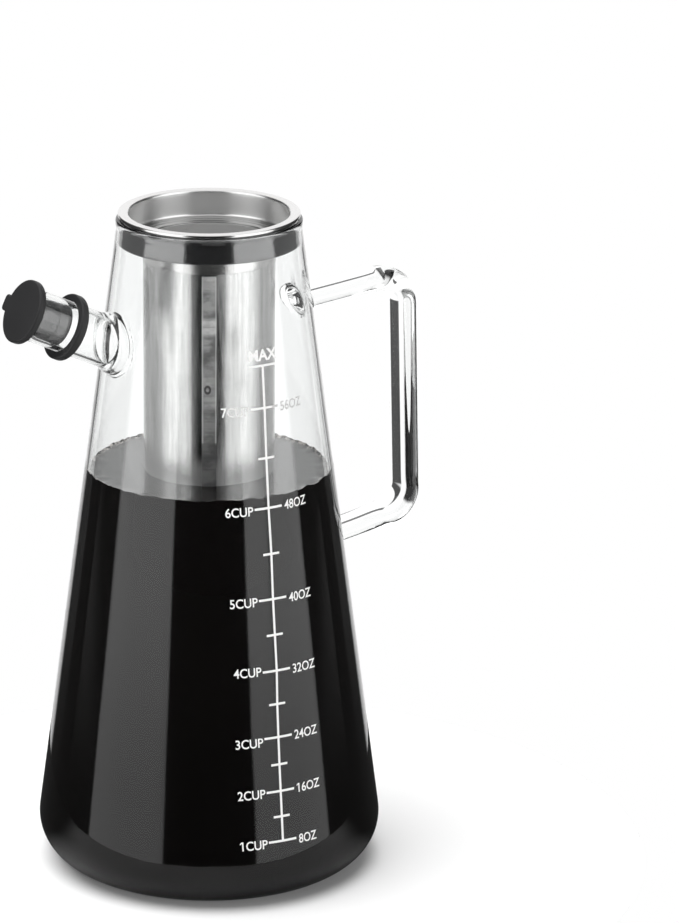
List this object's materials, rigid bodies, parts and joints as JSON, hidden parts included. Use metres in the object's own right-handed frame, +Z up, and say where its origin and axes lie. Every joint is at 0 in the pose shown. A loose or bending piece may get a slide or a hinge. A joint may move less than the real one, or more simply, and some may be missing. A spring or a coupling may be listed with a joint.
{
  "type": "cold brew coffee maker",
  "caption": "Conical glass carafe with a side spout and rod handle, a long steel mesh filter that lifts out of its neck seal, and a pull-out spout stopper.",
  "frame": {"origin": "centre of the flat glass base, on the table and on the carafe's axis", "axes": "+Z up along the carafe's axis, +X towards the handle, -X towards the spout"},
  "size_m": [0.1752, 0.132, 0.2587],
  "materials": {
    "glass": "clear borosilicate, polished",
    "steel": "spun, satin",
    "steel_mesh": "fine etched mesh",
    "silicone": "matt black silicone",
    "plug": "smooth black silicone"
  },
  "bodies": {
    "carafe": {"glass_body": "glass", "glass_spout": "glass", "glass_handle": "glass", "spout_ring": "silicone"},
    "filter": {"filter_collar": "steel", "neck_seal": "silicone", "filter_top_band": "steel", "filter_mesh": "steel_mesh", "filter_seam": "steel", "filter_bottom_cup": "steel"},
    "stopper": {"stopper_plug": "plug", "stopper_cap": "silicone"}
  },
  "joints": [
    {"name": "filter_lift", "type": "slide", "parent": "carafe", "child": "filter", "axis": [0, 0, 1], "range_m": [0, 0.205]},
    {"name": "stopper_pull", "type": "slide", "parent": "carafe", "child": "stopper", "axis": [-0.9011, 0, 0.4337], "range_m": [0, 0.03]}
  ]
}
